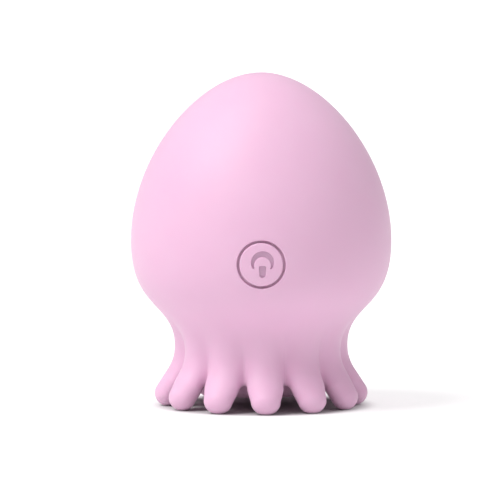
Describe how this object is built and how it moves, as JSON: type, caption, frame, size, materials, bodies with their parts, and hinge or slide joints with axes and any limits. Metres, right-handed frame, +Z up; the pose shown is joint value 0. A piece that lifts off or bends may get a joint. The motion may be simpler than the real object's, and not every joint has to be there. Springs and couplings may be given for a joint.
{
  "type": "handheld massager",
  "caption": "Palm-size rechargeable massager: an egg-shaped silicone body on short flexible tentacles, with a round push button in front and charging contacts behind.",
  "frame": {"origin": "middle of the base, on the surface the tentacle tips stand on", "axes": "+Z up the egg's axis, +Y towards the charging contacts, -Y towards the power button, +X to the right as seen from the button's side"},
  "size_m": [0.0608, 0.0605, 0.0778],
  "materials": {
    "skin_silicone": "matte",
    "case_plastic": "satin",
    "seal_silicone": "matte",
    "board_laminate": "satin",
    "black_resin": "satin",
    "nickel_plate": "satin",
    "led_lens": "gloss",
    "connector_nylon": "satin",
    "battery_foil": "satin",
    "pad_foam": "matte",
    "motor_steel": "satin",
    "magnet_ferrite": "matte",
    "bearing_brass": "satin",
    "weight_tungsten": "satin",
    "armature_copper": "satin",
    "contact_gold": "polished",
    "screw_steel": "satin",
    "red_sheath": "satin",
    "black_sheath": "satin"
  },
  "bodies": {
    "body": {"skin_mantle": "skin_silicone", "base_cover": "skin_silicone", "front_shell": "case_plastic", "rear_shell": "case_plastic", "motor_bracket": "case_plastic", "contact_holder": "case_plastic", "case_gasket": "seal_silicone", "motor_sleeve": "seal_silicone", "circuit_board": "board_laminate", "battery_guard_board": "board_laminate", "control_chip": "black_resin", "charge_chip": "black_resin", "switch_body": "nickel_plate", "charge_magnet_left": "nickel_plate", "charge_magnet_right": "nickel_plate", "status_led": "led_lens", "battery_connector": "connector_nylon", "motor_connector": "connector_nylon", "motor_end_cap": "connector_nylon", "battery_cell": "battery_foil", "battery_pad": "pad_foam", "motor_can": "motor_steel", "motor_magnet": "magnet_ferrite", "motor_bearing": "bearing_brass", "charge_contact_left": "contact_gold", "charge_contact_right": "contact_gold", "case_screw_1": "screw_steel", "case_screw_2": "screw_steel", "case_screw_3": "screw_steel", "case_screw_4": "screw_steel", "bracket_screw_1": "screw_steel", "bracket_screw_2": "screw_steel", "board_screw_1": "screw_steel", "board_screw_2": "screw_steel", "battery_lead_red": "red_sheath", "motor_lead_red": "red_sheath", "charge_lead_red": "red_sheath", "battery_lead_black": "black_sheath", "motor_lead_black": "black_sheath", "charge_lead_black": "black_sheath"},
    "power_button": {"button_cap": "skin_silicone", "button_plunger": "case_plastic"},
    "switch_stem": {"switch_stem": "black_resin"},
    "motor_rotor": {"motor_shaft": "screw_steel", "eccentric_weight": "weight_tungsten", "motor_armature": "armature_copper"},
    "tentacle_01": {"tentacle_01": "skin_silicone"},
    "tentacle_02": {"tentacle_02": "skin_silicone"},
    "tentacle_03": {"tentacle_03": "skin_silicone"},
    "tentacle_04": {"tentacle_04": "skin_silicone"},
    "tentacle_05": {"tentacle_05": "skin_silicone"},
    "tentacle_06": {"tentacle_06": "skin_silicone"},
    "tentacle_07": {"tentacle_07": "skin_silicone"},
    "tentacle_08": {"tentacle_08": "skin_silicone"},
    "tentacle_09": {"tentacle_09": "skin_silicone"},
    "tentacle_10": {"tentacle_10": "skin_silicone"},
    "tentacle_11": {"tentacle_11": "skin_silicone"},
    "tentacle_12": {"tentacle_12": "skin_silicone"}
  },
  "joints": [
    {"name": "button_press", "type": "slide", "parent": "body", "child": "power_button", "axis": [0, 1, 0], "range_m": [0, 0.00035], "stiffness_N_per_m": 3000},
    {"name": "switch_stem_press", "type": "slide", "parent": "body", "child": "switch_stem", "axis": [0, 1, 0], "range_m": [0, 0.00035]},
    {"name": "rotor_spin", "type": "hinge", "parent": "body", "child": "motor_rotor", "pos_m": [0, 0.0015, 0.025], "axis": [0, 0, 1], "continuous": true},
    {"name": "tentacle_01_flex", "type": "hinge", "parent": "body", "child": "tentacle_01", "pos_m": [0.00095, -0.01948, 0.0066], "axis": [-0.9988, -0.0489, 0], "range_deg": [-12, 15], "stiffness_Nm_per_rad": 0.04},
    {"name": "tentacle_02_flex", "type": "hinge", "parent": "body", "child": "tentacle_02", "pos_m": [0.01056, -0.01639, 0.0066], "axis": [-0.8406, -0.5417, 0], "range_deg": [-12, 15], "stiffness_Nm_per_rad": 0.04},
    {"name": "tentacle_03_flex", "type": "hinge", "parent": "body", "child": "tentacle_03", "pos_m": [0.01734, -0.00891, 0.0066], "axis": [-0.4571, -0.8894, 0], "range_deg": [-12, 15], "stiffness_Nm_per_rad": 0.04},
    {"name": "tentacle_04_flex", "type": "hinge", "parent": "body", "child": "tentacle_04", "pos_m": [0.01948, 0.00095, 0.0066], "axis": [0.0489, -0.9988, 0], "range_deg": [-12, 15], "stiffness_Nm_per_rad": 0.04},
    {"name": "tentacle_05_flex", "type": "hinge", "parent": "body", "child": "tentacle_05", "pos_m": [0.01639, 0.01056, 0.0066], "axis": [0.5417, -0.8406, 0], "range_deg": [-12, 15], "stiffness_Nm_per_rad": 0.04},
    {"name": "tentacle_06_flex", "type": "hinge", "parent": "body", "child": "tentacle_06", "pos_m": [0.00891, 0.01734, 0.0066], "axis": [0.8894, -0.4571, 0], "range_deg": [-12, 15], "stiffness_Nm_per_rad": 0.04},
    {"name": "tentacle_07_flex", "type": "hinge", "parent": "body", "child": "tentacle_07", "pos_m": [-0.00095, 0.01948, 0.0066], "axis": [0.9988, 0.0489, 0], "range_deg": [-12, 15], "stiffness_Nm_per_rad": 0.04},
    {"name": "tentacle_08_flex", "type": "hinge", "parent": "body", "child": "tentacle_08", "pos_m": [-0.01056, 0.01639, 0.0066], "axis": [0.8406, 0.5417, 0], "range_deg": [-12, 15], "stiffness_Nm_per_rad": 0.04},
    {"name": "tentacle_09_flex", "type": "hinge", "parent": "body", "child": "tentacle_09", "pos_m": [-0.01734, 0.00891, 0.0066], "axis": [0.4571, 0.8894, 0], "range_deg": [-12, 15], "stiffness_Nm_per_rad": 0.04},
    {"name": "tentacle_10_flex", "type": "hinge", "parent": "body", "child": "tentacle_10", "pos_m": [-0.01948, -0.00095, 0.0066], "axis": [-0.0489, 0.9988, 0], "range_deg": [-12, 15], "stiffness_Nm_per_rad": 0.04},
    {"name": "tentacle_11_flex", "type": "hinge", "parent": "body", "child": "tentacle_11", "pos_m": [-0.01639, -0.01056, 0.0066], "axis": [-0.5417, 0.8406, 0], "range_deg": [-12, 15], "stiffness_Nm_per_rad": 0.04},
    {"name": "tentacle_12_flex", "type": "hinge", "parent": "body", "child": "tentacle_12", "pos_m": [-0.00891, -0.01734, 0.0066], "axis": [-0.8894, 0.4571, 0], "range_deg": [-12, 15], "stiffness_Nm_per_rad": 0.04}
  ],
  "couplings": [
    {"joint": "switch_stem_press", "follows": "button_press", "ratio": 1}
  ]
}
